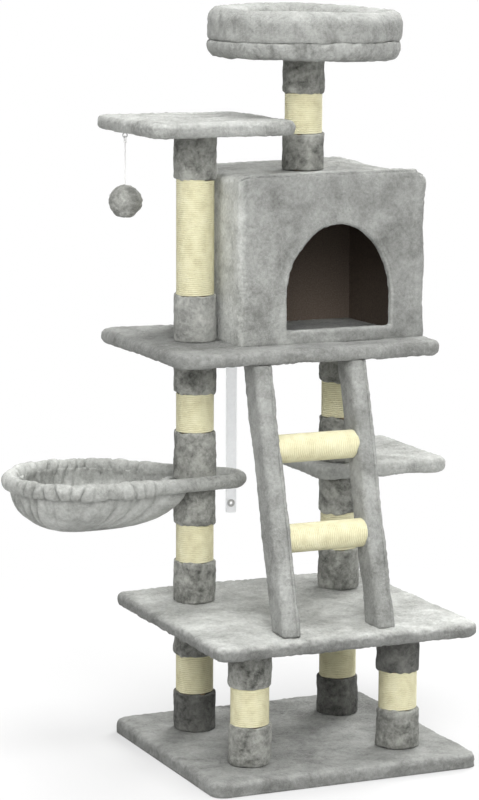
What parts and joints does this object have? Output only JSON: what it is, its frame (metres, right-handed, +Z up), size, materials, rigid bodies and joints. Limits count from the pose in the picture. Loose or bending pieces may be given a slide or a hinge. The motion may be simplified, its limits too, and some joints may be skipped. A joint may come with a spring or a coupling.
{
  "type": "cat tree",
  "caption": "Plush-covered cat tree with sisal-wound posts, a ladder, a swivelling hammock, a condo with an arched door, a lookout, a round padded perch, a hanging ball and a wall strap",
  "frame": {"origin": "the middle of the base's underside, on the floor", "axes": "+X to the right along the base's front edge, +Y to the back, +Z up"},
  "size_m": [0.7948, 0.56, 1.2832],
  "materials": {
    "grey_plush": "short mottled pile",
    "post_plush": "longer pile, brushed down",
    "sisal_rope": "pale twisted fibre",
    "fibreboard": "bare pressed board",
    "card_tube": "wound card",
    "steel": "zinc plated",
    "white_cord": "woven elastic",
    "dark_plush": "long pile",
    "clear_strap": "milky and slightly see-through"
  },
  "bodies": {
    "tree": {"base_cover": "grey_plush", "lower_platform_cover": "grey_plush", "step_cover": "grey_plush", "middle_platform_cover": "grey_plush", "lookout_cover": "grey_plush", "condo_roof_cover": "grey_plush", "condo_wall_cover": "grey_plush", "ladder_left_sleeve": "grey_plush", "ladder_right_sleeve": "grey_plush", "perch_cover": "grey_plush", "perch_bolster": "grey_plush", "perch_cushion": "grey_plush", "leg_collars": "post_plush", "left_column_collars": "post_plush", "right_column_collars": "post_plush", "lookout_post_collars": "post_plush", "perch_post_collars": "post_plush", "leg_sisal": "sisal_rope", "left_column_sisal": "sisal_rope", "right_column_sisal": "sisal_rope", "lookout_post_sisal": "sisal_rope", "perch_post_sisal": "sisal_rope", "ladder_rung_sisal": "sisal_rope", "base_board": "fibreboard", "lower_platform_board": "fibreboard", "step_board": "fibreboard", "middle_platform_board": "fibreboard", "lookout_board": "fibreboard", "condo_roof_board": "fibreboard", "condo_front_panel": "fibreboard", "condo_left_panel": "fibreboard", "condo_right_panel": "fibreboard", "condo_back_panel": "fibreboard", "perch_board": "fibreboard", "ladder_left_stringer": "fibreboard", "ladder_right_stringer": "fibreboard", "ladder_rungs": "fibreboard", "post_plugs": "fibreboard", "hammock_spacers": "fibreboard", "leg_tube": "card_tube", "left_column_tube": "card_tube", "right_column_tube": "card_tube", "lookout_post_tube": "card_tube", "perch_post_tube": "card_tube", "post_studs": "steel", "post_bolts": "steel", "wood_screws": "steel", "condo_brackets": "steel", "toy_eye": "steel", "strap_anchor": "steel"},
    "hammock": {"hammock_hoop": "steel", "hammock_neck_sleeve": "grey_plush", "hammock_rim": "grey_plush", "hammock_sling": "grey_plush"},
    "toy_link": {"toy_knot": "white_cord"},
    "toy": {"toy_cord": "white_cord", "toy_ball": "dark_plush"},
    "strap": {"safety_strap": "clear_strap", "strap_eyelet": "steel"}
  },
  "joints": [
    {"name": "hammock_swivel", "type": "hinge", "parent": "tree", "child": "hammock", "pos_m": [-0.139, 0.1085, 0.4705], "axis": [0, 0, 1], "range_deg": [-60, 45]},
    {"name": "toy_sideways", "type": "hinge", "parent": "tree", "child": "toy_link", "pos_m": [-0.2495, 0.1545, 1.0648], "axis": [0, 1, 0], "range_deg": [-20, 45]},
    {"name": "toy_to_and_fro", "type": "hinge", "parent": "toy_link", "child": "toy", "pos_m": [-0.2495, 0.1545, 1.04939], "axis": [1, 0, 0], "range_deg": [-25, 40]},
    {"name": "strap_swing", "type": "hinge", "parent": "tree", "child": "strap", "pos_m": [0.017, 0.308, 0.679], "axis": [1, 0, 0], "range_deg": [-15, 85]}
  ]
}
